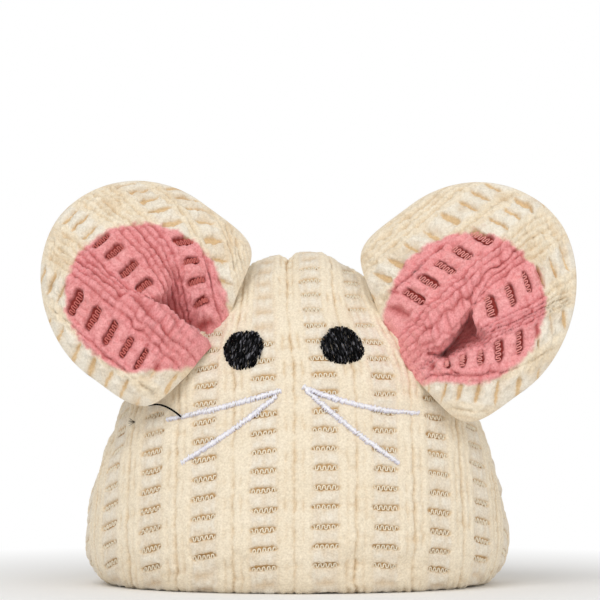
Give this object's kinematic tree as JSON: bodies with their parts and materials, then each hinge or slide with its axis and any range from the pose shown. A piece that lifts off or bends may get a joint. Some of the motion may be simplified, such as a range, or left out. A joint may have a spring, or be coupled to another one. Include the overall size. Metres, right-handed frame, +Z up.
{
  "type": "catnip mouse toy",
  "caption": "Stuffed sitting mouse of ribbed chenille knit with cupped pink-lined ears, embroidered eyes and whiskers, a soft tail and a catnip bag inside; a cat toy.",
  "frame": {"origin": "middle of the flat underside of the base panel, on the floor", "axes": "+Z up, the face looks towards -Y, +X is to the right as seen from the front"},
  "size_m": [0.1229, 0.1435, 0.0953],
  "materials": {
    "cream_knit": "matte",
    "pink_knit": "matte",
    "eye_thread": "satin",
    "whisker_thread": "satin",
    "sewing_thread": "matte",
    "fibre_fill": "matte",
    "muslin": "matte",
    "dried_herb": "matte"
  },
  "bodies": {
    "body": {"front_panel": "cream_knit", "back_panel": "cream_knit", "base_panel": "cream_knit", "front_filling": "fibre_fill", "back_filling": "fibre_fill", "catnip_bag_front": "muslin", "catnip_bag_back": "muslin", "catnip_herb": "dried_herb", "side_seam_thread": "sewing_thread", "base_seam_thread": "sewing_thread", "eye_left": "eye_thread", "eye_right": "eye_thread", "whisker_left_upper": "whisker_thread", "whisker_left_lower": "whisker_thread", "whisker_right_upper": "whisker_thread", "whisker_right_lower": "whisker_thread"},
    "ear_left": {"ear_left_front": "cream_knit", "ear_left_inner": "pink_knit", "ear_left_back": "cream_knit", "ear_left_wadding": "fibre_fill", "ear_left_seam_thread": "sewing_thread"},
    "ear_right": {"ear_right_front": "cream_knit", "ear_right_inner": "pink_knit", "ear_right_back": "cream_knit", "ear_right_wadding": "fibre_fill", "ear_right_seam_thread": "sewing_thread"},
    "tail": {"tail_cover": "cream_knit", "tail_filling": "fibre_fill"}
  },
  "joints": [
    {"name": "ear_left_fold", "type": "hinge", "parent": "body", "child": "ear_left", "pos_m": [-0.02044, -0.01937, 0.05647], "axis": [0.4897, 0.3531, 0.7972], "range_deg": [-20, 60], "stiffness_Nm_per_rad": 0.02},
    {"name": "ear_right_fold", "type": "hinge", "parent": "body", "child": "ear_right", "pos_m": [0.0246, -0.01792, 0.05436], "axis": [0.4645, -0.3493, -0.8138], "range_deg": [-20, 60], "stiffness_Nm_per_rad": 0.02},
    {"name": "tail_swing", "type": "hinge", "parent": "body", "child": "tail", "pos_m": [0, 0.0453, 0.014], "axis": [0, 0, 1], "range_deg": [-40, 40]}
  ]
}
